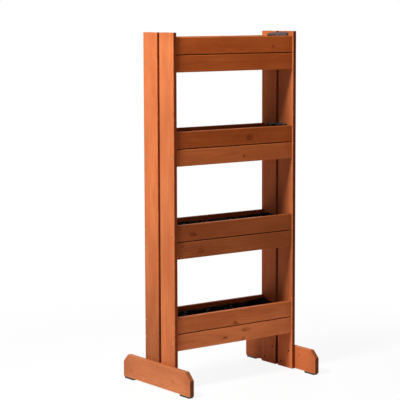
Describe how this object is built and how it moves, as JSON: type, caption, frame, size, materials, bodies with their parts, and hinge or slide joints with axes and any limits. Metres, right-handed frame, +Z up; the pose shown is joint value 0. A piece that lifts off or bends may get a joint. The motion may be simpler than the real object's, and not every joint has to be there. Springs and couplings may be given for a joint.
{
  "type": "vertical planter",
  "caption": "Free-standing wooden planter with film-lined troughs stacked between paired upright boards on long foot boards.",
  "frame": {"origin": "on the floor, midway between the two sides and midway along the foot boards", "axes": "+Z up, front at -Y, +X to the right as seen from the front"},
  "size_m": [0.564, 0.388, 1.2],
  "materials": {
    "stained_pine": "satin brown stain on planed softwood",
    "liner_film": "soft black film",
    "glide_plastic": "matte black",
    "screw_steel": "dull yellow zinc",
    "brad_steel": "plain"
  },
  "bodies": {
    "root": {"left_foot": "stained_pine", "left_front_upright": "stained_pine", "left_rear_upright": "stained_pine", "right_foot": "stained_pine", "right_front_upright": "stained_pine", "right_rear_upright": "stained_pine", "top_trough_front_upper_board": "stained_pine", "top_trough_front_lower_board": "stained_pine", "top_trough_front_floor_slat": "stained_pine", "top_trough_rear_upper_board": "stained_pine", "top_trough_rear_lower_board": "stained_pine", "top_trough_rear_floor_slat": "stained_pine", "top_trough_left_cleat": "stained_pine", "top_trough_right_cleat": "stained_pine", "upper_trough_front_upper_board": "stained_pine", "upper_trough_front_lower_board": "stained_pine", "upper_trough_front_floor_slat": "stained_pine", "upper_trough_rear_upper_board": "stained_pine", "upper_trough_rear_lower_board": "stained_pine", "upper_trough_rear_floor_slat": "stained_pine", "upper_trough_left_cleat": "stained_pine", "upper_trough_right_cleat": "stained_pine", "lower_trough_front_upper_board": "stained_pine", "lower_trough_front_lower_board": "stained_pine", "lower_trough_front_floor_slat": "stained_pine", "lower_trough_rear_upper_board": "stained_pine", "lower_trough_rear_lower_board": "stained_pine", "lower_trough_rear_floor_slat": "stained_pine", "lower_trough_left_cleat": "stained_pine", "lower_trough_right_cleat": "stained_pine", "bottom_trough_front_upper_board": "stained_pine", "bottom_trough_front_lower_board": "stained_pine", "bottom_trough_front_floor_slat": "stained_pine", "bottom_trough_rear_upper_board": "stained_pine", "bottom_trough_rear_lower_board": "stained_pine", "bottom_trough_rear_floor_slat": "stained_pine", "bottom_trough_left_cleat": "stained_pine", "bottom_trough_right_cleat": "stained_pine", "top_trough_liner": "liner_film", "upper_trough_liner": "liner_film", "lower_trough_liner": "liner_film", "bottom_trough_liner": "liner_film", "left_front_glide": "glide_plastic", "left_rear_glide": "glide_plastic", "right_front_glide": "glide_plastic", "right_rear_glide": "glide_plastic", "trough_screws": "screw_steel", "foot_screws": "screw_steel", "cleat_brads": "brad_steel", "glide_brads": "brad_steel"}
  },
  "joints": []
}
